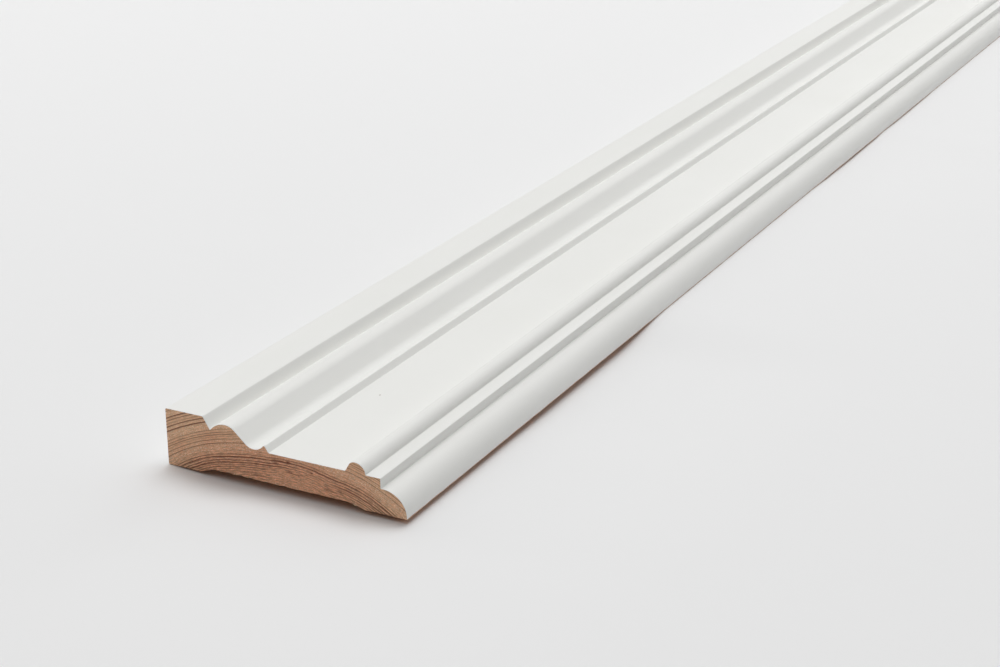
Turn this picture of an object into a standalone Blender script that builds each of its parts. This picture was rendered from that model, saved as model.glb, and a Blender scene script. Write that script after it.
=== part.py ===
# Casing moulding: one length of primed pine, moulded on its face and relieved on its back.
# It lies on its back. X runs across it from the thick wall edge to the thin jamb edge, Y runs along it,
# Z is up through its thickness, and the origin is at the middle of its back. All sizes are in metres.

from math import acos, atan2, cos, pi, radians, sin, tan

import bmesh
import bpy
from mathutils import Vector

# The board
LENGTH = 1.0
WIDTH = 0.0889
THICKNESS = 0.01985

# Flat band along the wall edge, and the quirk cut down beside it
BAND_WIDTH = 0.0145
QUIRK_WIDTH = 0.00265
QUIRK_DEPTH = 0.0043

# Ogee: a crown that rises out of the quirk, a short straight, and a cove
CROWN_REACH = 0.00575
CROWN_RISE = 0.00295
OGEE_WIDTH = 0.0106
OGEE_DROP = 0.0062
OGEE_STRAIGHT = 0.0055
COVE_RADIUS = 0.0045

# Ridge where the cove ends, and its bevel down to the flat field
FIELD_SINK = 0.0002
RIDGE_RISE = 0.0021
RIDGE_RADIUS = 0.0005
RIDGE_BEVEL = radians(55)

# Bead beyond the field: steep towards the field, round towards the jamb edge
BEAD_RISE = 0.00355
BEAD_BACK_RADIUS = 0.0024
BEAD_FLANK = radians(60)
BEAD_FRONT_WIDTH = 0.0039

# Fillet, the step below it, and the rounded nose of the jamb edge
FILLET_WIDTH = 0.0053
STEP_DROP = 0.0034
STEP_LEDGE = 0.0005
STEP_ARRIS_RADIUS = 0.0002
NOSE_WIDTH = 0.0086
NOSE_LAND = 0.0007

# Back: two flat feet, and a shallow relief whose ramps are rounded into its flat
WALL_FOOT = 0.0126
WALL_RAMP = 0.0047
WALL_RAMP_RADIUS = 0.009
WALL_RELIEF = 0.00175
JAMB_FOOT = 0.0148
JAMB_RAMP = 0.0053
JAMB_RAMP_RADIUS = 0.034
JAMB_RELIEF = 0.0015

# Eased outer corners, the inner corners that a cutter leaves, and the turn between points of an arc
ARRIS_RADIUS = 0.00045
CUTTER_RADIUS = 0.0003
ARC_STEP = radians(5)

SMOOTH_UNDER = radians(30)
WELD_DISTANCE = 0.000001
PRIMER_COLOUR = (0.79, 0.79, 0.76, 1)
PINE_COLOUR = (0.33, 0.2, 0.125, 1)


def clear_scene():
    for old in list(bpy.data.objects):
        bpy.data.objects.remove(old, do_unlink=True)


def arc(centre, across, up, start, end):
    """Points from the angle start to the angle end, on a circle or, where across isn't up, an ellipse."""
    steps = max(2, round(abs(end - start) / ARC_STEP))
    turns = [start + (end - start) * i / steps for i in range(steps + 1)]
    return [centre + Vector((across * cos(turn), up * sin(turn))) for turn in turns]


def crest_arc(crest, reach, drop):
    """The arc that is level at its crest and ends reach beside it and drop below it."""
    radius = (reach * reach + drop * drop) / (2 * drop)
    centre = crest - Vector((0, radius))
    return arc(centre, radius, radius, pi / 2, atan2(radius - drop, reach))


def run(points, first=0, last=0):
    """Each point with the radius that eases it, which only the run's two ends have."""
    return list(zip(points, [first] + [0] * (len(points) - 2) + [last]))


def eased(before, corner, after, radius, room):
    """The corner as an arc of this radius, or a smaller one where the sides have no room for it."""
    back = (before - corner).normalized()
    on = (after - corner).normalized()
    half = back.angle(on) / 2
    setback = min(radius / tan(half), room)
    radius = setback * tan(half)
    centre = corner + (back + on).normalized() * (radius / sin(half))
    start = corner + setback * back - centre
    sweep = (pi - 2 * half) * (1 if start.x * back.y < start.y * back.x else -1)
    angle = atan2(start.y, start.x)
    return arc(centre, radius, radius, angle, angle + sweep)


def eased_outline(marked):
    """The closed outline with its marked corners eased. Two eased corners share the side between them."""
    outline = []
    for i, (corner, radius) in enumerate(marked):
        before, radius_before = marked[i - 1]
        after, radius_after = marked[(i + 1) % len(marked)]
        if radius:
            room = min(
                (before - corner).length * (0.45 if radius_before else 0.9),
                (after - corner).length * (0.45 if radius_after else 0.9),
            )
            outline += eased(before, corner, after, radius, room)
        else:
            outline.append(corner)
    return outline


def band_and_quirk():
    """Up the wall edge, along the band and down to the bottom of the quirk."""
    quirk = Vector((BAND_WIDTH + QUIRK_WIDTH, THICKNESS - QUIRK_DEPTH))
    edge = [Vector((0, 0)), Vector((0, THICKNESS)), Vector((BAND_WIDTH, THICKNESS))]
    return [(corner, ARRIS_RADIUS) for corner in edge], quirk


def ogee(quirk):
    """From the quirk over the crown, down through the cove, over the ridge and down to the field."""
    crest = quirk + Vector((CROWN_REACH, CROWN_RISE))
    hollow = crest + Vector((OGEE_WIDTH, -OGEE_DROP))
    field = hollow.y - FIELD_SINK
    both_radii = (OGEE_WIDTH**2 + OGEE_DROP**2 - OGEE_STRAIGHT**2) / (2 * OGEE_DROP)
    crown_radius = both_radii - COVE_RADIUS
    crown = crest - Vector((0, crown_radius))
    cove = hollow + Vector((0, COVE_RADIUS))
    # The straight touches both arcs, on the side of each that faces the other
    slant = atan2((cove - crown).y, (cove - crown).x) + atan2(OGEE_STRAIGHT, both_radii)
    # The ridge's own arc touches the cove's at the angle climb from the hollow
    ridge_height = field + RIDGE_RISE - RIDGE_RADIUS
    between = COVE_RADIUS + RIDGE_RADIUS
    climb = acos((cove.y - ridge_height) / between)
    ridge = cove + between * Vector((sin(climb), -cos(climb)))
    over = arc(ridge, RIDGE_RADIUS, RIDGE_RADIUS, pi / 2 + climb, pi / 2 - RIDGE_BEVEL)
    foot = Vector((over[-1].x + (over[-1].y - field) / tan(RIDGE_BEVEL), field))
    points = crest_arc(crest, -CROWN_REACH, CROWN_RISE)[:0:-1]
    points += arc(crown, crown_radius, crown_radius, pi / 2, slant)
    points += arc(cove, COVE_RADIUS, COVE_RADIUS, slant - pi, climb - pi / 2)[:-1]
    points += over + [foot]
    return run(points, CUTTER_RADIUS, CUTTER_RADIUS), field


def bead_and_nose(field):
    """From the field over the bead, along the fillet, down the step and round the nose to the back."""
    step = WIDTH - NOSE_WIDTH - STEP_LEDGE
    crest = Vector((step - FILLET_WIDTH - BEAD_FRONT_WIDTH, field + BEAD_RISE))
    back_radius = min(BEAD_BACK_RADIUS, BEAD_RISE / (1 - cos(BEAD_FLANK)))
    back = arc(crest - Vector((0, back_radius)), back_radius, back_radius, pi / 2 + BEAD_FLANK, pi / 2)
    foot = Vector((back[0].x - (back[0].y - field) / tan(BEAD_FLANK), field))
    front = arc(Vector((crest.x, field)), BEAD_FRONT_WIDTH, BEAD_RISE, pi / 2, 0)
    bead = run([foot] + back + front[1:], CUTTER_RADIUS, CUTTER_RADIUS)
    nose_height = field - STEP_DROP
    nose_centre = Vector((WIDTH - NOSE_WIDTH, NOSE_LAND))
    nose = arc(nose_centre, NOSE_WIDTH, nose_height - NOSE_LAND, pi / 2, 0)
    fillet_end = [(Vector((step, field)), STEP_ARRIS_RADIUS)]
    step_foot = [(Vector((step, nose_height)), CUTTER_RADIUS)]
    return bead + fillet_end + step_foot + run(nose) + [(Vector((WIDTH, 0)), 0)]


def back_relief():
    """From the jamb edge's foot through the relief to the wall edge's foot."""
    jamb_foot = WIDTH - JAMB_FOOT
    return [
        (Vector((jamb_foot, 0)), 0),
        (Vector((jamb_foot - JAMB_RAMP, JAMB_RELIEF)), JAMB_RAMP_RADIUS),
        (Vector((WALL_FOOT + WALL_RAMP, WALL_RELIEF)), WALL_RAMP_RADIUS),
        (Vector((WALL_FOOT, 0)), 0),
    ]


def section():
    """The board's section as a closed outline, x across from the wall edge and y up from the back."""
    band, quirk = band_and_quirk()
    ogee_run, field = ogee(quirk)
    return eased_outline(band + ogee_run + bead_and_nose(field) + back_relief())


def material(name, colour, roughness):
    made = bpy.data.materials.new(name)
    made.use_nodes = True
    made.diffuse_color = colour
    shader = made.node_tree.nodes["Principled BSDF"]
    shader.inputs["Base Color"].default_value = colour
    shader.inputs["Roughness"].default_value = roughness
    shader.inputs["Metallic"].default_value = 0
    return made


def board(name, collection):
    """The section as a flat filled curve, given the board's length and laid along Y."""
    outline = section()
    curve = bpy.data.curves.new(name, "CURVE")
    curve.dimensions = "2D"
    curve.fill_mode = "BOTH"
    curve.extrude = LENGTH / 2
    spline = curve.splines.new("POLY")
    spline.points.add(len(outline) - 1)
    for place, point in zip(spline.points, outline):
        place.co = (point.x - WIDTH / 2, point.y, 0, 1)
    spline.use_cyclic_u = True
    drawn = bpy.data.objects.new(name + "_outline", curve)
    drawn.rotation_euler = (pi / 2, 0, 0)
    collection.objects.link(drawn)
    return as_mesh(drawn, name, collection)


def as_mesh(drawn, name, collection):
    """A mesh object in the curve's place, its caps welded to its sides."""
    graph = bpy.context.evaluated_depsgraph_get()
    mesh = bpy.data.meshes.new_from_object(drawn.evaluated_get(graph))
    mesh.name = name
    shape = bmesh.new()
    shape.from_mesh(mesh)
    bmesh.ops.remove_doubles(shape, verts=shape.verts, dist=WELD_DISTANCE)
    bmesh.ops.recalc_face_normals(shape, faces=shape.faces)
    shape.to_mesh(mesh)
    shape.free()
    made = bpy.data.objects.new(name, mesh)
    made.matrix_world = drawn.matrix_world
    collection.objects.link(made)
    bpy.data.objects.remove(drawn, do_unlink=True)
    return made


def finish(moulding):
    """Primer on the face and the two edges, bare pine on the sawn ends and the back."""
    mesh = moulding.data
    mesh.shade_smooth()
    mesh.set_sharp_from_angle(angle=SMOOTH_UNDER)
    mesh.materials.clear()
    mesh.materials.append(material("white_primer", PRIMER_COLOUR, 0.45))
    mesh.materials.append(material("bare_pine", PINE_COLOUR, 0.7))
    for face in mesh.polygons:
        normal = moulding.matrix_world.to_3x3() @ face.normal
        face.material_index = int(abs(normal.y) > 0.5 or normal.z < -0.5)


clear_scene()
parts = bpy.data.collections.new("casing_moulding")
bpy.context.scene.collection.children.link(parts)
casing = board("casing", parts)
bpy.context.view_layer.update()
finish(casing)
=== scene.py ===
from math import ceil, floor, hypot, pi, radians, sin
from random import Random

import bmesh
import bpy
from mathutils import Euler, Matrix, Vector, noise
from mathutils.geometry import delaunay_2d_cdt


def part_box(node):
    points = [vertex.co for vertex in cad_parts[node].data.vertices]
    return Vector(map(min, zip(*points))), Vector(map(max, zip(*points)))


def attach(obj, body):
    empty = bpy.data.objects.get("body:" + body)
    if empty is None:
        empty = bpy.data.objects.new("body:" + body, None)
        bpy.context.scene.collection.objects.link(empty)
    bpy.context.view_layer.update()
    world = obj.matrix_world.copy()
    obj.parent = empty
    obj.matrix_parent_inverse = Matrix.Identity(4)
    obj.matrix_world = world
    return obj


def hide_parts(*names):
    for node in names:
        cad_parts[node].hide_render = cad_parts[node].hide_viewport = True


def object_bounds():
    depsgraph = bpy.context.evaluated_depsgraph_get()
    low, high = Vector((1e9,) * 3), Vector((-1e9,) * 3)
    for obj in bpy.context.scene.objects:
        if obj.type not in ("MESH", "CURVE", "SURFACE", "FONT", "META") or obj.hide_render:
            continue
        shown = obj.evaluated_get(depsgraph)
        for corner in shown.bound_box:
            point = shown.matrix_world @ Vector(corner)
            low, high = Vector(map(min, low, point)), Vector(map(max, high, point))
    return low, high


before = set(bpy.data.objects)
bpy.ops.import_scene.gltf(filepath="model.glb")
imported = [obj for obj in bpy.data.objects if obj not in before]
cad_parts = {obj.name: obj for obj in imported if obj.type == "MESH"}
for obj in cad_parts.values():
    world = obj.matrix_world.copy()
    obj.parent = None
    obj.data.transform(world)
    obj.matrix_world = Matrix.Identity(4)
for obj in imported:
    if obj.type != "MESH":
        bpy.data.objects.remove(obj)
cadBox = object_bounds()
mm = 0.001
nearEndY = cadBox[0].y / mm  # the near end's place along Y, in millimetres
print("frame loaded")


def linearColour(hexCode):
    # sRGB hex to the linear values that Blender's sockets take
    parts = [int(hexCode[i:i + 2], 16) / 255 for i in (1, 3, 5)]
    return [c / 12.92 if c <= 0.04045 else ((c + 0.055) / 1.055) ** 2.4 for c in parts] + [1]


def addNode(tree, kind, settings, inputs):
    # An input is a plain value, or another node or one of its outputs, which is linked
    node = tree.nodes.new("ShaderNode" + kind)
    column, row = divmod(len(tree.nodes), 6)
    node.location = (220 * column, -260 * row)
    for name, value in settings.items():
        if name == "stops":
            while len(node.color_ramp.elements) < len(value):
                node.color_ramp.elements.new(0.5)
            for stop, (place, colour) in zip(node.color_ramp.elements, value):
                stop.position = place
                stop.color = colour
        elif name == "blending":
            node.color_ramp.interpolation = value
        else:
            setattr(node, name, value)
    for socket, value in inputs.items():
        if isinstance(value, bpy.types.Node):
            tree.links.new(value.outputs[0], node.inputs[socket])
        elif isinstance(value, bpy.types.NodeSocket):
            tree.links.new(value, node.inputs[socket])
        else:
            node.inputs[socket].default_value = value
    return node


def newMaterial(name):
    made = bpy.data.materials.new(name)
    made.use_nodes = True
    tree = made.node_tree
    shader = tree.nodes["Principled BSDF"]
    where = addNode(tree, "TexCoord", {}, {})
    place = addNode(tree, "VectorMath", {"operation": "SCALE"}, {
        0: where.outputs["Object"], "Scale": 1 / mm})
    return made, tree, shader, place.outputs[0]  # place is in millimetres


primer = {
    "colour": "#f3f3f0",
    "shade": "#eeeeea",       # the slightly greyer patches of a sprayed coat
    "patch": 50.0,            # mm, their size
    "speck": "#a39b8e",
    "speckShape": 0.7,        # a speck's width as a share of its length
    "speckCore": 0.6,         # share of a speck's radius that is solid colour
    "roughness": (0.42, 0.52),  # satin, varying along the grain
    "peelSize": 1.6,          # mm, orange peel of a sprayed coat
    "peelDepth": 0.006,       # mm
    "grainWidth": 0.8,        # mm, pine grain that shows through the film
    "grainLength": 70.0,      # mm
    "grainDepth": 0.008,      # mm
    "bareArris": 0.48,        # mm, the most bare pine that shows under the film along the lower arrises
    "bareWaves": 0.12,        # per mm, how often the film's lower edge wavers
    "barePine": "#b98a63",
}

# Dust specks on the face: x, distance from the near end and radius in millimetres
dustSpecks = [(2.35, 56.3, 0.32), (-3.1, 612.0, 0.25), (9.4, 871.0, 0.28)]


def sprayedPrimer():
    # Sprayed acrylic primer, lightly sanded: an even off-white with a soft satin sheen, a trace of
    # orange peel, and the pine's grain only just telegraphing through
    made, tree, shader, place = newMaterial("sprayed_acrylic_primer")
    cloudy = addNode(tree, "TexNoise", {}, {"Vector": place, "Scale": 1 / primer["patch"], "Detail": 3.0})
    colour = addNode(tree, "MixRGB", {}, {
        0: cloudy, 1: linearColour(primer["shade"]), 2: linearColour(primer["colour"])})
    # Specks of dust that dried into the coat
    level = addNode(tree, "VectorMath", {"operation": "MULTIPLY"}, {
        0: place, 1: [1, primer["speckShape"], 0]})
    for across, along, radius in dustSpecks:
        centre = [across, (nearEndY + along) * primer["speckShape"], 0]
        away = addNode(tree, "VectorMath", {"operation": "DISTANCE"}, {0: level, 1: centre})
        speck = addNode(tree, "MapRange", {}, {
            0: away.outputs["Value"], 1: radius * primer["speckCore"], 2: radius, 3: 1.0, 4: 0.0})
        colour = addNode(tree, "MixRGB", {}, {0: speck, 1: colour, 2: linearColour(primer["speck"])})
    # The film stops a little short of the lower arrises, in a wavering line
    height = addNode(tree, "SeparateXYZ", {}, {0: place})
    waver = addNode(tree, "TexNoise", {}, {"Vector": place, "Scale": primer["bareWaves"], "Detail": 4.0})
    reach = addNode(tree, "Math", {"operation": "MULTIPLY"}, {0: waver, 1: primer["bareArris"]})
    bare = addNode(tree, "Math", {"operation": "LESS_THAN"}, {0: height.outputs["Z"], 1: reach})
    colour = addNode(tree, "MixRGB", {}, {0: bare, 1: colour, 2: linearColour(primer["barePine"])})
    # Orange peel, and grain streaks along the board
    peel = addNode(tree, "TexNoise", {}, {"Vector": place, "Scale": 1 / primer["peelSize"], "Detail": 1.0})
    stretched = addNode(tree, "Mapping", {}, {"Vector": place, "Scale": [
        1 / primer["grainWidth"], 1 / primer["grainLength"], 1 / primer["grainWidth"]]})
    streaks = addNode(tree, "TexNoise", {}, {"Vector": stretched, "Scale": 1.0, "Detail": 2.0})
    peelBump = addNode(tree, "Bump", {}, {
        "Height": peel, "Strength": 1.0, "Distance": primer["peelDepth"] * mm})
    grainBump = addNode(tree, "Bump", {}, {
        "Height": streaks, "Strength": 1.0, "Distance": primer["grainDepth"] * mm, "Normal": peelBump})
    sheen = addNode(tree, "MapRange", {}, {
        0: streaks, 1: 0.3, 2: 0.7, 3: primer["roughness"][0], 4: primer["roughness"][1]})
    tree.links.new(colour.outputs[0], shader.inputs["Base Color"])
    tree.links.new(sheen.outputs[0], shader.inputs["Roughness"])
    tree.links.new(grainBump.outputs[0], shader.inputs["Normal"])
    shader.inputs["IOR"].default_value = 1.5
    shader.inputs["Metallic"].default_value = 0
    return made


# Growth rings about a pith below the board's middle, all in millimetres: the radius where each ring ends
# in its dark latewood, how dark that is, and how wide
pineRings = [
    (75.2, 0.30, 0.50), (76.2, 0.35, 0.50), (77.1, 0.45, 0.50), (78.1, 0.50, 0.50), (78.95, 0.55, 0.50),
    (79.75, 0.75, 0.55), (80.47, 0.60, 0.50), (81.28, 1.00, 0.75), (82.08, 0.85, 0.60), (83.2, 1.00, 0.85),
    (84.04, 0.75, 0.50), (85.2, 0.15, 0.50), (87.85, 0.75, 0.55), (89.15, 0.65, 0.50), (90.05, 0.40, 0.40),
    (90.75, 0.70, 0.50), (91.5, 0.60, 0.45), (92.45, 0.55, 0.45), (95.55, 1.00, 0.80), (96.85, 0.95, 0.65),
    (97.7, 0.45, 0.40), (98.7, 0.75, 0.55), (99.65, 0.95, 0.65), (101.8, 0.60, 0.50), (103.4, 0.60, 0.50),
]

# How far the rings stray outwards from true circles, in millimetres: place round the ring, the distance
ringDrift = [
    (-45.0, -0.15), (-42.5, 0.02), (-40.3, 0.17), (-38.2, 0.32), (-35.9, 0.38), (-33.6, 0.52),
    (-31.4, 0.51), (-29.2, 0.46), (-27.0, 0.35), (-24.9, 0.21), (-22.8, 0.12), (-20.7, -0.01),
    (-16.5, -0.20), (-12.3, -0.35), (-8.2, -0.48), (-5.0, -0.43), (-2.0, -0.25), (4.0, -0.18),
    (8.0, -0.10), (12.0, -0.25), (16.5, -0.50), (18.6, -0.44), (20.7, -0.30), (22.8, -0.05),
    (27.0, 0.15), (29.2, 0.17), (33.6, 0.05), (38.2, -0.28), (42.0, -0.60), (45.0, -0.80),
]

pine = {
    "pith": (0.45, -72.6),    # mm, x and z at the near end
    "lean": (0.35, 0.55),     # degrees by which the pith leans off the board's length
    "firstRing": 74.0,        # mm, where the rings that the board holds begin
    "widestRing": 5.0,        # mm, the widest that a ring can be
    "arcRadius": 85.0,        # mm, the radius at which places round the rings are measured
    "wobble": 0.28,           # mm, the most that slow bends move the rings
    "bends": 0.09,            # per mm, how often they bend across the board
    "bendsAlong": 0.02,       # and along it, as a share of that
    "patternAlong": 0.05,     # the same share for the finer patterns
    "calmer": (84.0, 94.0),   # mm, radii between which the rings' drift dies away
    "fade": (9.0, 0.8),       # mm round and across the rings, size of the places where lines fade
    "faded": 0.75,            # share of a line's darkness that is left there
    "deepening": 0.12,        # how dark a ring gets before its line
    "streak": (2.6, 0.3),     # mm round and across the rings
    "dot": (0.55, 0.40),      # mm round and across the rings; real cells are 0.04 and can't show
    "dotRings": (0.6, 2.0),   # mm, ring widths from where dots grow stronger to where they are strongest
    "dotLeast": 0.35,         # share of their strength in the narrow rings
    "ray": (5 / 12, 6.25),    # mm round and across the rings; real rays are finer
    "rayContrast": 0.05,
    "openRings": (82.0, 88.0),  # mm, radii between which the streaks weaken
    "openStreaks": 0.4,       # share of their strength that is left in the outer rings
    "heart": (-3.4, 4.62, 34.0, 11.0),  # mm, redder heartwood: its middle's x and z, half width and height
    "heartPatch": 6.25,       # mm, size of the patches that break up its edge
    "redness": (0.64, 0.08),  # in the heartwood and outside it
    "relief": 0.05,           # mm that latewood and cell walls stand up
    "roughness": (0.84, 0.7),  # matt, a little less so on the cut cells
    "sawCentre": (-150.0, -90.0),  # mm, x and z that the saw's arcs run round
    "sawPitch": 1.5,          # mm between its arcs
    "planerPitch": 2.0,       # mm between the planer's ripples
    "markDepth": 0.002,       # mm
}

# A stretch of the near end where the saw has smeared the inner lines, in millimetres
smear = {
    "round": (6.0, 20.0),     # places round the rings where it begins and ends
    "sooner": 14.0,           # how much sooner it begins at its innermost line
    "radii": (79.5, 82.5),    # the radius of that line, and of the outermost
    "outermost": (82.4, 82.8),  # radii between which it dies away
    "edge": 4.0,              # length of its two edges
    "share": 0.6,             # of the lines' darkness that it takes away
}

# What a saw leaves across the grain, and what a planer leaves along it
sawnLook = {
    "early": "#eabb94",
    "late": "#642406",
    "red": "#d8825e",
    "pale": "#ffe8cc",        # cut cells
    "streaks": 0.5,           # strength of the fine streaks
    "dots": 0.85,             # strength of the cut cells
}
planedLook = {
    "early": "#dc9a60",
    "late": "#9a5c32",
    "red": "#cc804c",
    "pale": "#ecc08c",
    "streaks": 0.14,
    "dots": 0.2,
}

# Resin in the near end, smeared along the rings: x, z, half width and half height in millimetres, strength
resin = "#6e3420"
resinSpots = [
    (1.7, 10.4, 0.9, 0.6, 0.9),
    (-1.4, 10.2, 3.2, 0.35, 0.55),
    (-2.6, 9.2, 1.2, 0.45, 0.6),
    (2.8, 7.0, 1.8, 0.5, 0.6),
    (5.4, 6.8, 2.4, 0.35, 0.4),
    (10.5, 8.5, 0.55, 0.35, 0.85),
    (-10.5, 3.5, 4.0, 0.4, 0.5),
    (17.0, 4.0, 2.2, 0.7, 0.35),
]


def ringSpace(tree, place):
    # Where a point is among the rings. They have slow bends, nearly the same all along the board
    along = addNode(tree, "Mapping", {}, {"Vector": place, "Scale": [1, pine["bendsAlong"], 1]})
    bends = addNode(tree, "TexNoise", {}, {"Vector": along, "Scale": pine["bends"], "Detail": 2.0})
    shift = addNode(tree, "VectorMath", {"operation": "SUBTRACT"}, {
        0: bends.outputs["Color"], 1: [0.5, 0.5, 0.5]})
    shift = addNode(tree, "VectorMath", {"operation": "SCALE"}, {0: shift, "Scale": pine["wobble"]})
    bent = addNode(tree, "VectorMath", {"operation": "ADD"}, {0: place, 1: shift})
    # From the pith's own axis, which leans a little off the board's
    lean = Euler((radians(pine["lean"][0]), 0, radians(pine["lean"][1])))
    nearPith = Vector((pine["pith"][0], nearEndY, pine["pith"][1]))
    nearPith.rotate(lean)
    fromPith = addNode(tree, "Mapping", {}, {"Vector": bent, "Rotation": lean, "Location": -nearPith})
    flat = addNode(tree, "VectorMath", {"operation": "MULTIPLY"}, {0: fromPith, 1: [1, 0, 1]})
    radius = addNode(tree, "VectorMath", {"operation": "LENGTH"}, {0: flat}).outputs["Value"]
    sides = addNode(tree, "SeparateXYZ", {}, {0: flat})
    angle = addNode(tree, "Math", {"operation": "ARCTAN2"}, {0: sides.outputs["X"], 1: sides.outputs["Z"]})
    arc = addNode(tree, "Math", {"operation": "MULTIPLY"}, {0: angle, 1: pine["arcRadius"]})
    # The same drift for all the rings at one place round them, dying away towards the outer ones.
    # A colour holds it as 0.5 and half of it
    first, last = ringDrift[0][0], ringDrift[-1][0]
    strays = [((where - first) / (last - first), [0.5 + stray / 2] * 3 + [1]) for where, stray in ringDrift]
    drift = addNode(tree, "MapRange", {}, {0: arc, 1: first, 2: last})
    drift = addNode(tree, "ValToRGB", {"stops": strays, "blending": "CARDINAL"}, {0: drift})
    drift = addNode(tree, "Math", {"operation": "MULTIPLY_ADD"}, {0: drift, 1: 2.0, 2: -1.0})
    innerShare = addNode(tree, "MapRange", {}, {
        0: radius, 1: pine["calmer"][0], 2: pine["calmer"][1], 3: 1.0, 4: 0.0})
    drift = addNode(tree, "Math", {"operation": "MULTIPLY"}, {0: drift, 1: innerShare})
    radius = addNode(tree, "Math", {"operation": "SUBTRACT"}, {0: radius, 1: drift})
    length = addNode(tree, "SeparateXYZ", {}, {0: place})
    length = addNode(tree, "Math", {"operation": "MULTIPLY"}, {
        0: length.outputs["Y"], 1: pine["patternAlong"]})
    aroundRings = addNode(tree, "CombineXYZ", {}, {0: arc, 1: radius, 2: length})
    return {"along": along, "bent": bent, "radius": radius, "arc": arc, "around": aroundRings}


def ringNoise(tree, space, size, detail, roughness):
    # Noise drawn out round the rings, its size in millimetres round and across them
    stretched = addNode(tree, "VectorMath", {"operation": "MULTIPLY"}, {
        0: space["around"], 1: [1 / size[0], 1 / size[1], 1]})
    return addNode(tree, "TexNoise", {}, {
        "Vector": stretched, "Scale": 1.0, "Detail": detail, "Roughness": roughness})


def clearShare(tree, space):
    # The share of a line's darkness that the smeared stretch leaves
    start, end = smear["round"]
    half = smear["edge"] / 2
    begins = addNode(tree, "MapRange", {}, {
        0: space["radius"], 1: smear["radii"][0], 2: smear["radii"][1], 3: start - smear["sooner"], 4: start})
    begun = addNode(tree, "Math", {"operation": "SUBTRACT"}, {0: space["arc"], 1: begins})
    begun = addNode(tree, "MapRange", {}, {0: begun, 1: 0.0, 2: smear["edge"]})
    going = addNode(tree, "MapRange", {}, {0: space["arc"], 1: end - half, 2: end + half, 3: 1.0, 4: 0.0})
    within = addNode(tree, "MapRange", {}, {
        0: space["radius"], 1: smear["outermost"][0], 2: smear["outermost"][1], 3: smear["share"], 4: 0.0})
    calm = addNode(tree, "Math", {"operation": "MULTIPLY"}, {0: begun, 1: going})
    calm = addNode(tree, "Math", {"operation": "MULTIPLY"}, {0: calm, 1: within})
    return addNode(tree, "Math", {"operation": "SUBTRACT"}, {0: 1.0, 1: calm})


def ringLines(tree, space):
    # How dark the latewood is at a point, and how wide its ring is as a share of the widest
    first, last, count = pine["firstRing"], pineRings[-1][0], len(pineRings)
    edges = [(0, [0, 0, 0, 1])]
    facts = []
    inner = first
    for i, (outer, dark, line) in enumerate(pineRings):
        edges.append(((outer - first) / (last - first), [(i + 1) / count] * 3 + [1]))
        facts.append((i / count, [(outer - inner) / pine["widestRing"], dark, line, 1]))
        inner = outer
    span = addNode(tree, "MapRange", {}, {0: space["radius"], 1: first, 2: last})
    ringRamp = addNode(tree, "ValToRGB", {"stops": edges}, {0: span})
    ring = addNode(tree, "Math", {"operation": "MULTIPLY"}, {0: ringRamp, 1: float(count)})
    whole = addNode(tree, "Math", {"operation": "FLOOR"}, {0: ring})
    through = addNode(tree, "Math", {"operation": "FRACT"}, {0: ring})
    lookUp = addNode(tree, "Math", {"operation": "MULTIPLY_ADD"}, {0: whole, 1: 1 / count, 2: 0.5 / count})
    factRamp = addNode(tree, "ValToRGB", {"stops": facts, "blending": "CONSTANT"}, {0: lookUp})
    width, darkness, lineWidth = addNode(tree, "SeparateColor", {}, {0: factRamp}).outputs
    left = addNode(tree, "Math", {"operation": "SUBTRACT"}, {0: 1.0, 1: through})
    left = addNode(tree, "Math", {"operation": "MULTIPLY"}, {0: left, 1: width})
    left = addNode(tree, "Math", {"operation": "MULTIPLY"}, {0: left, 1: pine["widestRing"]})
    line = addNode(tree, "MapRange", {"interpolation_type": "SMOOTHSTEP"}, {
        0: left, 1: 0.0, 2: lineWidth, 3: 1.0, 4: 0.0})
    late = addNode(tree, "Math", {"operation": "MULTIPLY"}, {0: line, 1: darkness})
    # A line comes and goes along its length
    fading = ringNoise(tree, space, pine["fade"], 1.0, 0.5)
    fading = addNode(tree, "MapRange", {}, {0: fading, 1: 0.3, 2: 0.55, 3: pine["faded"], 4: 1.0})
    late = addNode(tree, "Math", {"operation": "MULTIPLY"}, {0: late, 1: fading})
    late = addNode(tree, "Math", {"operation": "MULTIPLY"}, {0: late, 1: clearShare(tree, space)})
    # Latewood deepens through the ring before its line
    deepens = addNode(tree, "Math", {"operation": "POWER"}, {0: through, 1: 3.0})
    deepens = addNode(tree, "Math", {"operation": "MULTIPLY"}, {0: deepens, 1: pine["deepening"]})
    return addNode(tree, "Math", {"operation": "MAXIMUM"}, {0: late, 1: deepens}), width


def withResin(tree, colour, place, space, streaks):
    # The colour with resin over it, on the near end alone
    onNearEnd = addNode(tree, "SeparateXYZ", {}, {0: place})
    onNearEnd = addNode(tree, "Math", {"operation": "LESS_THAN"}, {0: onNearEnd.outputs["Y"], 1: 0.0})
    for x, z, halfWidth, halfHeight, strength in resinSpots:
        spot = addNode(tree, "Mapping", {}, {
            "Vector": space["bent"], "Location": [-x / halfWidth, 0, -z / halfHeight],
            "Scale": [1 / halfWidth, 0, 1 / halfHeight]})
        spot = addNode(tree, "VectorMath", {"operation": "LENGTH"}, {0: spot}).outputs["Value"]
        spot = addNode(tree, "Math", {"operation": "MULTIPLY_ADD"}, {0: streaks, 1: 1.6, 2: spot})
        spot = addNode(tree, "MapRange", {"interpolation_type": "SMOOTHSTEP"}, {
            0: spot, 1: 1.1, 2: 2.1, 3: strength, 4: 0.0})
        spot = addNode(tree, "Math", {"operation": "MULTIPLY"}, {0: spot, 1: onNearEnd})
        colour = addNode(tree, "MixRGB", {}, {0: spot, 1: colour, 2: linearColour(resin)})
    return colour


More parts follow.
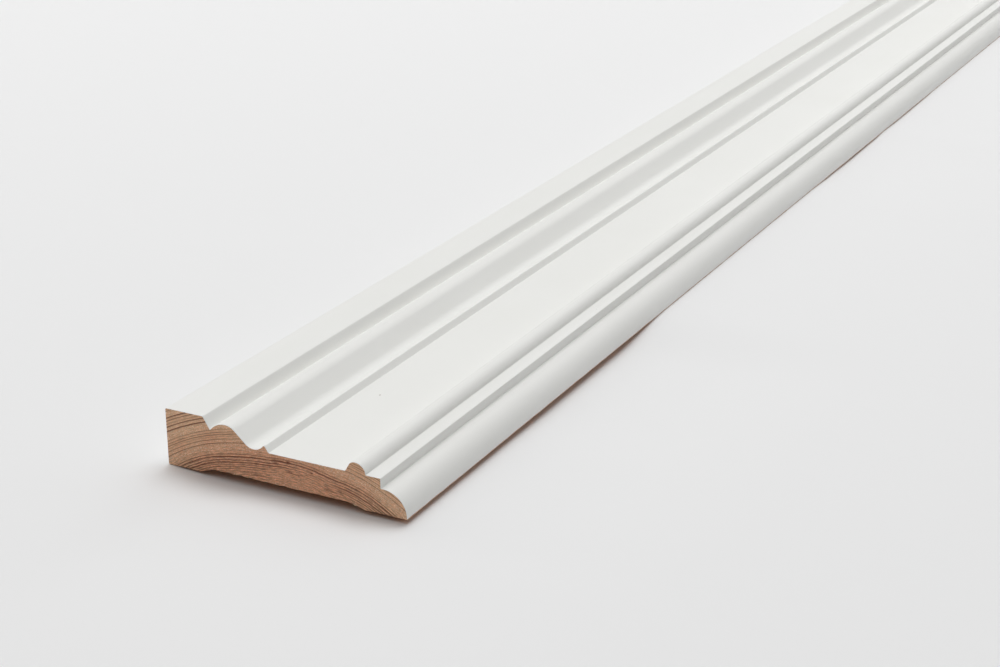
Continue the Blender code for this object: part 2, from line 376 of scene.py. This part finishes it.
def sawnPine(name, look, endGrain):
    # Pine heartwood: warm reddish brown, thin dark latewood lines, matt. Across the grain it is darker
    # and speckled with cut cells; along it, it is paler and streaked
    made, tree, shader, place = newMaterial(name)
    space = ringSpace(tree, place)
    late, ringWidth = ringLines(tree, space)
    # Redder heartwood low in the middle, in streaks along the rings
    streaks = ringNoise(tree, space, pine["streak"], 2.0, 0.6)
    middleX, middleZ, halfWidth, halfHeight = pine["heart"]
    heart = addNode(tree, "Mapping", {}, {
        "Vector": place, "Location": [-middleX / halfWidth, 0, -middleZ / halfHeight],
        "Scale": [1 / halfWidth, 0, 1 / halfHeight]})
    heart = addNode(tree, "VectorMath", {"operation": "LENGTH"}, {0: heart}).outputs["Value"]
    patch = addNode(tree, "TexNoise", {}, {
        "Vector": space["along"], "Scale": 1 / pine["heartPatch"], "Detail": 2.0})
    heart = addNode(tree, "Math", {"operation": "MULTIPLY_ADD"}, {0: patch, 1: -0.9, 2: heart})
    heart = addNode(tree, "MapRange", {"interpolation_type": "SMOOTHSTEP"}, {
        0: heart, 1: 0.1, 2: 0.9, 3: pine["redness"][0], 4: pine["redness"][1]})
    redder = addNode(tree, "MapRange", {}, {0: streaks, 1: 0.38, 2: 0.66, 3: 0.62, 4: 0.8})
    heart = addNode(tree, "Math", {"operation": "MULTIPLY"}, {0: heart, 1: redder})
    colour = addNode(tree, "MixRGB", {}, {
        0: heart, 1: linearColour(look["early"]), 2: linearColour(look["red"])})
    # Pale cut cells in rows along the rings, where the rings are wide
    cells = ringNoise(tree, space, pine["dot"], 2.5, 0.6)
    narrow, broad = [width / pine["widestRing"] for width in pine["dotRings"]]
    dotStrength = addNode(tree, "MapRange", {}, {
        0: ringWidth, 1: narrow, 2: broad, 3: look["dots"] * pine["dotLeast"], 4: look["dots"]})
    dots = addNode(tree, "MapRange", {}, {0: cells, 1: 0.49, 2: 0.68, 3: 0.0, 4: dotStrength})
    colour = addNode(tree, "MixRGB", {}, {0: dots, 1: colour, 2: linearColour(look["pale"])})
    colour = addNode(tree, "MixRGB", {}, {0: late, 1: colour, 2: linearColour(look["late"])})
    # Fine streaks along the rings, strongest where they are close, and faint rays across them
    inner, outer = pine["openRings"]
    strength = addNode(tree, "MapRange", {}, {
        0: space["radius"], 1: inner, 2: outer, 3: look["streaks"], 4: look["streaks"] * pine["openStreaks"]})
    darker = addNode(tree, "Math", {"operation": "SUBTRACT"}, {0: 1.0, 1: strength})
    lighter = addNode(tree, "Math", {"operation": "MULTIPLY_ADD"}, {0: strength, 1: 0.7, 2: 1.0})
    fine = addNode(tree, "MapRange", {}, {0: streaks, 1: 0.34, 2: 0.66, 3: darker, 4: lighter})
    colour = addNode(tree, "MixRGB", {"blend_type": "MULTIPLY"}, {0: 1.0, 1: colour, 2: fine})
    rays = ringNoise(tree, space, pine["ray"], 1.0, 0.5)
    rays = addNode(tree, "MapRange", {}, {
        0: rays, 1: 0.3, 2: 0.7, 3: 1 - pine["rayContrast"], 4: 1 + pine["rayContrast"]})
    colour = addNode(tree, "MixRGB", {"blend_type": "MULTIPLY"}, {0: 1.0, 1: colour, 2: rays})
    if endGrain:
        colour = withResin(tree, colour, place, space, streaks)
    # The saw leaves shallow arcs on the ends, and the planer a ripple along the back
    if endGrain:
        centre = [pine["sawCentre"][0], nearEndY, pine["sawCentre"][1]]
        sweep = addNode(tree, "VectorMath", {"operation": "DISTANCE"}, {0: place, 1: centre}).outputs["Value"]
        pitch = pine["sawPitch"]
    else:
        sweep = addNode(tree, "SeparateXYZ", {}, {0: place}).outputs["Y"]
        pitch = pine["planerPitch"]
    marks = addNode(tree, "Math", {"operation": "MULTIPLY"}, {0: sweep, 1: 2 * pi / pitch})
    marks = addNode(tree, "Math", {"operation": "SINE"}, {0: marks})
    marksBump = addNode(tree, "Bump", {}, {
        "Height": marks, "Strength": 1.0, "Distance": pine["markDepth"] * mm})
    raised = addNode(tree, "Math", {"operation": "MULTIPLY_ADD"}, {0: late, 1: 0.8, 2: cells})
    grainBump = addNode(tree, "Bump", {}, {
        "Height": raised, "Strength": 1.0, "Distance": pine["relief"] * mm, "Normal": marksBump})
    dull = addNode(tree, "MapRange", {}, {
        0: cells, 1: 0.3, 2: 0.7, 3: pine["roughness"][0], 4: pine["roughness"][1]})
    tree.links.new(colour.outputs[0], shader.inputs["Base Color"])
    tree.links.new(dull.outputs[0], shader.inputs["Roughness"])
    tree.links.new(grainBump.outputs[0], shader.inputs["Normal"])
    shader.inputs["IOR"].default_value = 1.5
    shader.inputs["Metallic"].default_value = 0
    return made


fibre = {
    "dark": "#d8ae86",
    "pale": "#f6e2c4",
    "roughness": 0.85,
    "patch": 0.4,             # mm
    "shortest": 0.45,         # share of the longest
    "width": (0.3, 0.5),      # mm; real fibres are finer, and hang in tufts of this size
    "behind": (0.0, 0.15),    # mm from the sawn wood in to the root
    "above": (0.15, 0.4),     # mm from the torn edge up to the root
    "below": 0.25,            # mm that its length may pass the torn edge's height
    "across": (-0.6, 0.6),    # how far it strays to a side on its way down, as a share of that
    "outwards": (-0.25, 0.0),  # the same out of the end
    "bendAcross": (-0.5, 0.5),  # what its bend adds to that by its tip
    "bendUp": (0.0, 0.4),
    "pieces": 4,              # along its length
    "taper": 0.6,
    "depth": 0.8,             # share of half its width
}

# Torn fibres at the near end's lower edge: from and to in millimetres across, how many, and the longest
tornRuns = [
    (-25.5, -16.0, 26, 0.75),
    (-16.0, -7.5, 18, 0.65),
    (25.2, 26.3, 6, 1.0),
    (-30.0, -25.5, 6, 0.5),
    (-7.5, 25.0, 40, 0.5),
    (27.0, 40.0, 12, 0.4),
]


def tornFibre():
    # Fibres that the saw tore out: dry, straw pale, matt
    made, tree, shader, place = newMaterial("torn_pine_fibre")
    fine = addNode(tree, "TexNoise", {}, {"Vector": place, "Scale": 1 / fibre["patch"], "Detail": 2.0})
    colour = addNode(tree, "MixRGB", {}, {
        0: fine, 1: linearColour(fibre["dark"]), 2: linearColour(fibre["pale"])})
    tree.links.new(colour.outputs[0], shader.inputs["Base Color"])
    shader.inputs["Roughness"].default_value = fibre["roughness"]
    return made


board = {
    "closest": 0.15,          # mm between outline points on the small curves
    "widest": 1.1,            # mm between outline points on the flats
    "backStep": 0.45,         # mm between outline points on the back, whose near edge is torn
    "corner": 12,             # degrees of turn from which a corner stays where it is
    "firstRing": 0.7,         # mm from an end to the first ring of points
    "firstGap": 0.3,          # mm to the second, from where the gaps grow
    "gapGrowth": 1.35,
    "ringStep": 7.0,          # mm between rings along the board's middle
    "capStep": 0.42,          # mm between points on a sawn end
    "capStray": (0.22, 0.2),  # share of that by which they stray across and up
    "capClear": 0.3,          # share of it that they keep from the outline
    "film": 0.08,             # mm of primer, whose edge shows at the sawn ends
    "bareRim": 0.06,          # mm, the same rim where the wood is bare
    "filmUneven": (0.5, 900),  # share by which that varies, and how often per metre
    "filmArris": 0.08,        # mm that the saw rounds off the film's edge
    "sawDepth": 0.03,         # mm, ripple that the saw leaves
    "sawRipple": 0.6,         # share of that in even ripples
    "sawRough": (0.4, 1400),  # share of it in roughness, and how often per metre
    "sawLeast": 0.1,
    "recess": 0.2,            # mm from the solid's end back to the sawn wood, so that fibres can stand proud
    "tear": 0.65,             # mm, deepest bite out of the near end's lower edge
    "tearLeast": 0.3,         # share of it where no run of torn fibres is
    "tearDepth": 1.4,         # mm that a bite runs in under the board
    "bites": (700, 1900),     # per metre, coarse and fine bites
    "bitten": 0.25,           # from -0.5, which spares the edge, to 0.5, which bites all of it
    "waver": 0.02,            # mm by which the faces drift from true
    "waverScale": (60, 9),    # per metre across and along
    "footHeight": 0.5,        # mm from the feet's level up, which stay true
    "sharpFrom": 32,          # degrees between faces, from which their edge is sharp
    "seed": 11,
}

# Nibs in the primer: x, distance from the near end, radius and height in millimetres
nibs = [
    (35.2, 226.4, 0.42, 0.12),
    (35.25, 176.0, 0.4, 0.12),
    (33.4, 164.5, 0.36, 0.1),
    (35.2, 376.3, 0.5, 0.14),
]
nibLength = 1.5  # share of its width
nibSink = 0.02  # mm that its middle lies below the face


def solidOutline(node):
    # The near end of the board's solid, walked once round: up the wall edge, over the face to the jamb
    # edge's foot, and back along the underside
    shape = bmesh.new()
    shape.from_mesh(node.data)
    bmesh.ops.remove_doubles(shape, verts=shape.verts, dist=1e-6)
    shape.verts.index_update()
    nearY = min(vert.co.y for vert in shape.verts) + 1e-5
    beside = {}
    for edge in shape.edges:
        one, other = edge.verts
        onSide = any(vert.co.y > nearY for face in edge.link_faces for vert in face.verts)
        if max(one.co.y, other.co.y) < nearY and onSide:
            beside.setdefault(one.index, []).append(other.index)
            beside.setdefault(other.index, []).append(one.index)
    flat = {vert.index: Vector((vert.co.x, vert.co.z)) for vert in shape.verts}
    shape.free()
    start = min(beside, key=lambda i: flat[i].x + flat[i].y)
    walk = [start, max(beside[start], key=lambda i: flat[i].y)]
    while True:
        ahead = [i for i in beside[walk[-1]] if i != walk[-2]][0]
        if ahead == start:
            return [flat[i] for i in walk]
        walk.append(ahead)


def respaced(points):
    # Fewer points on the small curves, more on the flats; real corners stay where they are
    closest, widest, backStep = [board[key] * mm for key in ("closest", "widest", "backStep")]
    kept = [points[0]]
    for i in range(1, len(points)):
        before, here, after = points[i - 1], points[i], points[(i + 1) % len(points)]
        corner = (here - before).angle(after - here) > radians(board["corner"])
        if corner or (here - kept[-1]).length >= closest:
            kept.append(here)
    filled = []
    for here, after in zip(kept, kept[1:] + kept[:1]):
        pieces = ceil((after - here).length / (backStep if after.x < here.x - closest else widest))
        filled += [here.lerp(after, i / pieces) for i in range(pieces)]
    return filled


def inwards(points):
    # At each point, the direction into the wood
    turned = []
    for i, here in enumerate(points):
        before, after = points[i - 1], points[(i + 1) % len(points)]
        way = (here - before).normalized() + (after - here).normalized()
        turned.append(Vector((way.y, -way.x)).normalized())
    return turned


def ringPlaces(low, high):
    # Rings close together by both ends and a step apart in the middle
    middle = (low + high) / 2
    places = [low + board["firstRing"] * mm]
    gap = board["firstGap"] * mm
    while places[-1] + gap < middle:
        places.append(places[-1] + gap)
        gap = min(gap * board["gapGrowth"], board["ringStep"] * mm)
    return places + [low + high - place for place in reversed(places)]


def spansAt(points, height):
    # Where a level line at this height runs through the wood
    hits = []
    for here, after in zip(points, points[1:] + points[:1]):
        if (here.y > height) != (after.y > height):
            hits.append(here.x + (after.x - here.x) * (height - here.y) / (after.y - here.y))
    hits.sort()
    return list(zip(hits[::2], hits[1::2]))


def capPoints(points, chance):
    # Points all over a sawn end, on a loose grid
    step = board["capStep"] * mm
    clear = board["capClear"] * step
    strayAcross, strayUp = board["capStray"]
    offGrid = 0.03 * mm  # so that no row lies on a flat of the outline
    inner = []
    low, high = min(p.y for p in points), max(p.y for p in points)
    for row in range(1, ceil((high - low) / step)):
        height = low + row * step + offGrid
        for start, end in spansAt(points, height):
            places = floor((end - start) / step)
            for i in range(places):
                stray = chance.uniform(-strayAcross, strayAcross)
                across = start + (i + 0.5 + stray) * (end - start) / places
                if clear < across - start and clear < end - across:
                    inner.append(Vector((across, height + chance.uniform(-strayUp, strayUp) * step)))
    return inner


def addEnd(shape, rim, outline, inward, painted, endY, way, chance):
    # The film's rounded edge, then the sawn wood, a little rippled by the saw
    uneven, unevenScale = board["filmUneven"]
    roughShare, roughScale = board["sawRough"]
    inner = []
    for i, here in enumerate(outline):
        film = board["film"] if i <= painted else board["bareRim"]
        film *= 1 + uneven * noise.noise(Vector((here.x, here.y, endY)) * unevenScale)
        at = here + inward[i] * film * mm
        inner.append(shape.verts.new((at.x, endY, at.y)))
    count = len(outline)
    for i in range(count):
        j = (i + 1) % count
        corners = (rim[i], rim[j], inner[j], inner[i])
        face = shape.faces.new(corners if way > 0 else corners[::-1])
        face.material_index = 0 if i < painted else 1
    inset = [Vector((vert.co.x, vert.co.z)) for vert in inner]
    extra = capPoints(inset, chance)
    loop = [(i, (i + 1) % count) for i in range(count)]
    found = delaunay_2d_cdt(inset + extra, loop, [], 1, 1e-9)
    sawX, sawZ = pine["sawCentre"]
    verts = list(inner)
    for point in found[0][count:]:
        sweep = hypot(point.x - sawX * mm, point.y - sawZ * mm)
        ripple = 0.5 + 0.5 * sin(2 * pi * sweep / (pine["sawPitch"] * mm))
        rough = noise.noise(Vector((point.x, point.y, endY)) * roughScale)
        depth = board["sawDepth"] * (board["sawRipple"] * ripple + roughShare * abs(rough) + board["sawLeast"])
        verts.append(shape.verts.new((point.x, endY + way * depth * mm, point.y)))
    print("  sawn end:", len(verts), "points,", len(found[2]), "faces")
    for corners in found[2]:
        trio = [verts[i] for i in corners]
        a, b, c = (vert.co for vert in trio)
        if (b - a).cross(c - a).y * way > 0:
            trio.reverse()
        shape.faces.new(trio).material_index = 1


def tornDepth(across):
    # How deep the near end's lower edge is bitten here, in metres
    least = board["tearLeast"]
    torn = max([longest if start < across / mm < end else least for start, end, _, longest in tornRuns])
    coarse = noise.noise(Vector((across * board["bites"][0], 1.7, 0)))
    fine = noise.noise(Vector((across * board["bites"][1], 5.3, 0)))
    return board["tear"] * mm * torn * max(0, board["bitten"] + coarse + 0.5 * fine)


def addSides(shape, outline, inward, painted, bites, near, far):
    # The board's long faces, a ring of points at a time, and the rings at its two ends
    scaleAcross, scaleAlong = board["waverScale"]
    loops = []
    for place in [near] + ringPlaces(near, far) + [far]:
        ring = []
        bitten = max(0, 1 - (place - near) / (board["tearDepth"] * mm))
        for i, here in enumerate(outline):
            raised = Vector((here.x, here.y + bites[i] * bitten))
            if near < place < far:
                drift = noise.noise(Vector((here.x * scaleAcross, place * scaleAlong, here.y * scaleAcross)))
                flatFoot = i >= painted or here.y < board["footHeight"] * mm
                at = raised + inward[i] * (0 if flatFoot else (1 + drift) / 2 * board["waver"] * mm)
                ring.append(shape.verts.new((at.x, place, at.y)))
            else:
                # The film's edge is rounded a little by the saw
                off = board["filmArris"] * mm * (1 if place == near else -1)
                ring.append(shape.verts.new((here.x, place + off, raised.y)))
        loops.append(ring)
    count = len(outline)
    for one, other in zip(loops, loops[1:]):
        for i in range(count):
            j = (i + 1) % count
            face = shape.faces.new((one[i], one[j], other[j], other[i])[::-1])
            face.material_index = 0 if i < painted else 2
    return loops[0], loops[-1]


def addFibre(shape, root, way, length, width, chance):
    # One torn fibre: a thin three sided sliver that bends and comes to a point
    side = Vector((0, 1, 0))
    bend = Vector((chance.uniform(*fibre["bendAcross"]), 0, chance.uniform(*fibre["bendUp"])))
    before = None
    for i in range(fibre["pieces"]):
        part = i / fibre["pieces"]
        middle = root + (way + bend * part) * length * part
        half = width / 2 * (1 - part * fibre["taper"])
        spread = way.cross(side).normalized() * half
        here = [shape.verts.new(middle + turn) for turn in (spread, -spread, side * half * fibre["depth"])]
        if before:
            for j in range(3):
                face = shape.faces.new((before[j], before[j - 2], here[j - 2], here[j]))
                face.material_index = 3
        else:
            shape.faces.new(here[::-1]).material_index = 3
        before = here
    tip = shape.verts.new(root + (way + bend) * length)
    for j in range(3):
        shape.faces.new((before[j], before[j - 2], tip)).material_index = 3


def addFibres(shape, tornEdge, near, chance):
    # Torn fibres hang from the near end's lower edge, none of them past the feet's level
    for start, end, many, longest in tornRuns:
        for _ in range(many):
            across = chance.uniform(start, end) * mm
            under = min(tornEdge, key=lambda point: abs(point.x - across))
            room = under.y / mm + fibre["below"]
            length = min(longest * chance.uniform(fibre["shortest"], 1), room) * mm
            rootY = near + chance.uniform(*fibre["behind"]) * mm
            rootZ = under.y + chance.uniform(*fibre["above"]) * mm
            way = Vector((chance.uniform(*fibre["across"]), chance.uniform(*fibre["outwards"]), -1))
            width = chance.uniform(*fibre["width"]) * mm
            addFibre(shape, Vector((under.x, rootY, rootZ)), way.normalized(), length, width, chance)


def faceHeight(outline, painted, across):
    # The painted face's height at this place across the board
    best = 0
    for here, after in zip(outline[:painted], outline[1:painted + 1]):
        if min(here.x, after.x) <= across <= max(here.x, after.x) and here.x != after.x:
            best = max(best, here.y + (after.y - here.y) * (across - here.x) / (after.x - here.x))
    return best


def addNibs(shape, outline, painted, endY):
    for across, along, radius, height in nibs:
        top = faceHeight(outline, painted, across * mm)
        dome = bmesh.ops.create_icosphere(shape, subdivisions=2, radius=mm)
        for vert in dome["verts"]:
            vert.co = Vector((vert.co.x * radius, vert.co.y * radius * nibLength, vert.co.z * height))
            vert.co += Vector((across * mm, endY + along * mm, top - nibSink * mm))


def makeBoard():
    low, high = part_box("casing")
    near = low.y + board["recess"] * mm
    far = high.y - board["recess"] * mm
    outline = respaced(solidOutline(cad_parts["casing"]))
    painted = max(range(len(outline)), key=lambda i: outline[i].x - outline[i].y)
    inward = inwards(outline)
    bites = [tornDepth(here.x) if i > painted else 0 for i, here in enumerate(outline)]
    bittenOutline = [Vector((here.x, here.y + bites[i])) for i, here in enumerate(outline)]
    chance = Random(board["seed"])
    shape = bmesh.new()
    nearRim, farRim = addSides(shape, outline, inward, painted, bites, near, far)
    addEnd(shape, nearRim, bittenOutline, inward, painted, near, 1, chance)
    addEnd(shape, farRim, outline, inward, painted, far, -1, chance)
    addFibres(shape, bittenOutline[painted + 1:], near, chance)
    addNibs(shape, outline, painted, low.y)
    bmesh.ops.recalc_face_normals(shape, faces=shape.faces)
    mesh = bpy.data.meshes.new("casing_board")
    shape.to_mesh(mesh)
    shape.free()
    mesh.shade_smooth()
    mesh.set_sharp_from_angle(angle=radians(board["sharpFrom"]))
    made = bpy.data.objects.new("casing_board", mesh)
    bpy.context.collection.objects.link(made)
    mesh.materials.append(sprayedPrimer())
    mesh.materials.append(sawnPine("sawn_pine_end_grain", sawnLook, True))
    mesh.materials.append(sawnPine("planed_pine", planedLook, False))
    mesh.materials.append(tornFibre())
    triangles = sum(len(polygon.vertices) - 2 for polygon in mesh.polygons)
    print("board:", len(mesh.vertices), "points,", triangles, "triangles")
    return made


casingBoard = makeBoard()
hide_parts("casing")
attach(casingBoard, "root")


table = {
    "colour": "#eeeeee",
    "roughness": 0.9,
    "tooth": 1.25,            # mm; real paper's is finer
    "toothDepth": 0.004,      # mm
    "acrossStep": 3,          # mm between the lines of the fine grid that carries the sag
    "acrossLines": 60,
    "alongStep": 5,           # mm
    "alongLines": 206,
    "before": 120,            # mm, its reach before the near end
    "beyondAcross": ([-4.0, -0.6, -0.2], [0.2, 0.6, 4.0]),  # m, the grid's other lines on both sides
    "beyondAlong": ([-4.0, -1.5, -0.8], [0.6, 1.5, 4.0]),   # m
}

# The paper is level where the board rests on it and sags beside that and under its jamb side: distance
# along the board from its near end, and across it from its middle, each with a depth or a share of it,
# in millimetres
sagAlong = [
    (-120, 0.0), (-25, 1.3), (0, 1.7), (60, 1.95), (105, 2.5), (160, 2.6), (205, 0.1), (250, 0.03),
    (385, 0.03), (410, 0.5), (440, 0.75), (480, 0.55), (500, 0.1), (525, 0.45), (570, 0.3), (600, 0.03),
    (900, 0.0),
]
sagAcross = [
    (-44, 0.0), (-36, 0.35), (-28, 0.72), (-20, 0.88), (30, 1.0), (44, 1.0), (52, 0.95), (150, 0.0),
]


def eased(points, place):
    # The curve through these points, level at each of them
    for (start, one), (end, other) in zip(points, points[1:]):
        if start <= place <= end:
            part = (place - start) / (end - start)
            return one + (other - one) * part * part * (3 - 2 * part)
    return 0


def mattPaper():
    # Matt white paper: even, with the faintest tooth
    made, tree, shader, place = newMaterial("matt_white_paper")
    tooth = addNode(tree, "TexNoise", {}, {"Vector": place, "Scale": 1 / table["tooth"], "Detail": 3.0})
    bump = addNode(tree, "Bump", {}, {
        "Height": tooth, "Strength": 1.0, "Distance": table["toothDepth"] * mm})
    tree.links.new(bump.outputs[0], shader.inputs["Normal"])
    shader.inputs["Base Color"].default_value = linearColour(table["colour"])
    shader.inputs["Roughness"].default_value = table["roughness"]
    return made


def makeTable():
    low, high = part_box("casing")
    middle = (low.x + high.x) / 2
    fineX = [low.x + i * table["acrossStep"] * mm for i in range(table["acrossLines"])]
    fineY = [low.y - table["before"] * mm + i * table["alongStep"] * mm for i in range(table["alongLines"])]
    xs = table["beyondAcross"][0] + fineX + table["beyondAcross"][1]
    ys = table["beyondAlong"][0] + fineY + table["beyondAlong"][1]
    shape = bmesh.new()
    grid = []
    for y in ys:
        row = []
        for x in xs:
            sag = eased(sagAlong, (y - low.y) / mm) * eased(sagAcross, (x - middle) / mm)
            row.append(shape.verts.new((x, y, -sag * mm)))
        grid.append(row)
    for one, other in zip(grid, grid[1:]):
        for i in range(len(xs) - 1):
            shape.faces.new((one[i], one[i + 1], other[i + 1], other[i]))
    mesh = bpy.data.meshes.new("table_top")
    shape.to_mesh(mesh)
    shape.free()
    mesh.shade_smooth()
    mesh.materials.append(mattPaper())
    made = bpy.data.objects.new("table_top", mesh)
    bpy.context.collection.objects.link(made)
    return made


tableTop = makeTable()
print("table laid")


lamps = {
    "size": 2.3,              # m, each side of a square softbox
    "distance": 3.6,          # m
    "aim": (0, -0.1, 0),      # m, the board's near half
}

# Softboxes: degrees round from behind towards the jamb side, degrees up, and power in watts
softboxes = {
    "behindHigh": (0, 70, 43.7),
    "behindLow": (0, 32, 11.2),
    "behindRight": (40, 28, 5.8),
    "leftHigh": (-60, 65, 28.5),
    "leftLow": (-80, 30, 21.3),
    "front": (-160, 50, 8.8),
    "frontHigh": (170, 65, 8.6),
}

for name, (around, up, power) in softboxes.items():
    lamp = bpy.data.lights.new("softbox_" + name, "AREA")
    lamp.shape = "SQUARE"
    lamp.size = lamps["size"]
    lamp.energy = power
    holder = bpy.data.objects.new("softbox_" + name, lamp)
    turn = Euler((radians(up), 0, radians(-around)))
    way = Vector((0, 1, 0))
    way.rotate(turn)
    holder.location = Vector(lamps["aim"]) + way * lamps["distance"]
    holder.rotation_euler = (-way).to_track_quat("-Z", "Y").to_euler()
    bpy.context.collection.objects.link(holder)

# A pale room, dimmer on the camera's side, so that little light creeps in under the near end
roomLight = {
    "colour": "#f4f4f4",
    "strength": 0.346,
    "dimSide": 0.25,          # share of its light that is left on the camera's side
    "dimFrom": -0.2,          # how far round to that side the dimming begins, and where it is complete
    "dimTo": -0.9,
}

room = bpy.data.worlds.new("pale_room")
room.use_nodes = True
walls = room.node_tree.nodes["Background"]
facing = addNode(room.node_tree, "TexCoord", {}, {})
facing = addNode(room.node_tree, "SeparateXYZ", {}, {0: facing.outputs["Generated"]})
dimmed = addNode(room.node_tree, "MapRange", {"interpolation_type": "SMOOTHSTEP"}, {
    0: facing.outputs["Y"], 1: roomLight["dimTo"], 2: roomLight["dimFrom"],
    3: roomLight["dimSide"], 4: 1.0})
glow = addNode(room.node_tree, "Math", {"operation": "MULTIPLY"}, {0: dimmed, 1: roomLight["strength"]})
walls.inputs["Color"].default_value = linearColour(roomLight["colour"])
room.node_tree.links.new(glow.outputs[0], walls.inputs["Strength"])
bpy.context.scene.world = room

view = {
    "from": (0.31185, -0.9613, 0.2691),       # m
    "towards": (-0.4235, 0.8298, -0.3635),
    "lens": 70.0,             # mm
    "sensor": 36.0,           # mm
}

lens = bpy.data.cameras.new("camera")
lens.lens = view["lens"]
lens.sensor_width = view["sensor"]
lens.dof.use_dof = False
viewer = bpy.data.objects.new("camera", lens)
viewer.location = view["from"]
viewer.rotation_euler = Vector(view["towards"]).to_track_quat("-Z", "Y").to_euler()
bpy.context.collection.objects.link(viewer)
bpy.context.scene.camera = viewer
bpy.context.scene.view_settings.view_transform = "Standard"
print("lit and framed")
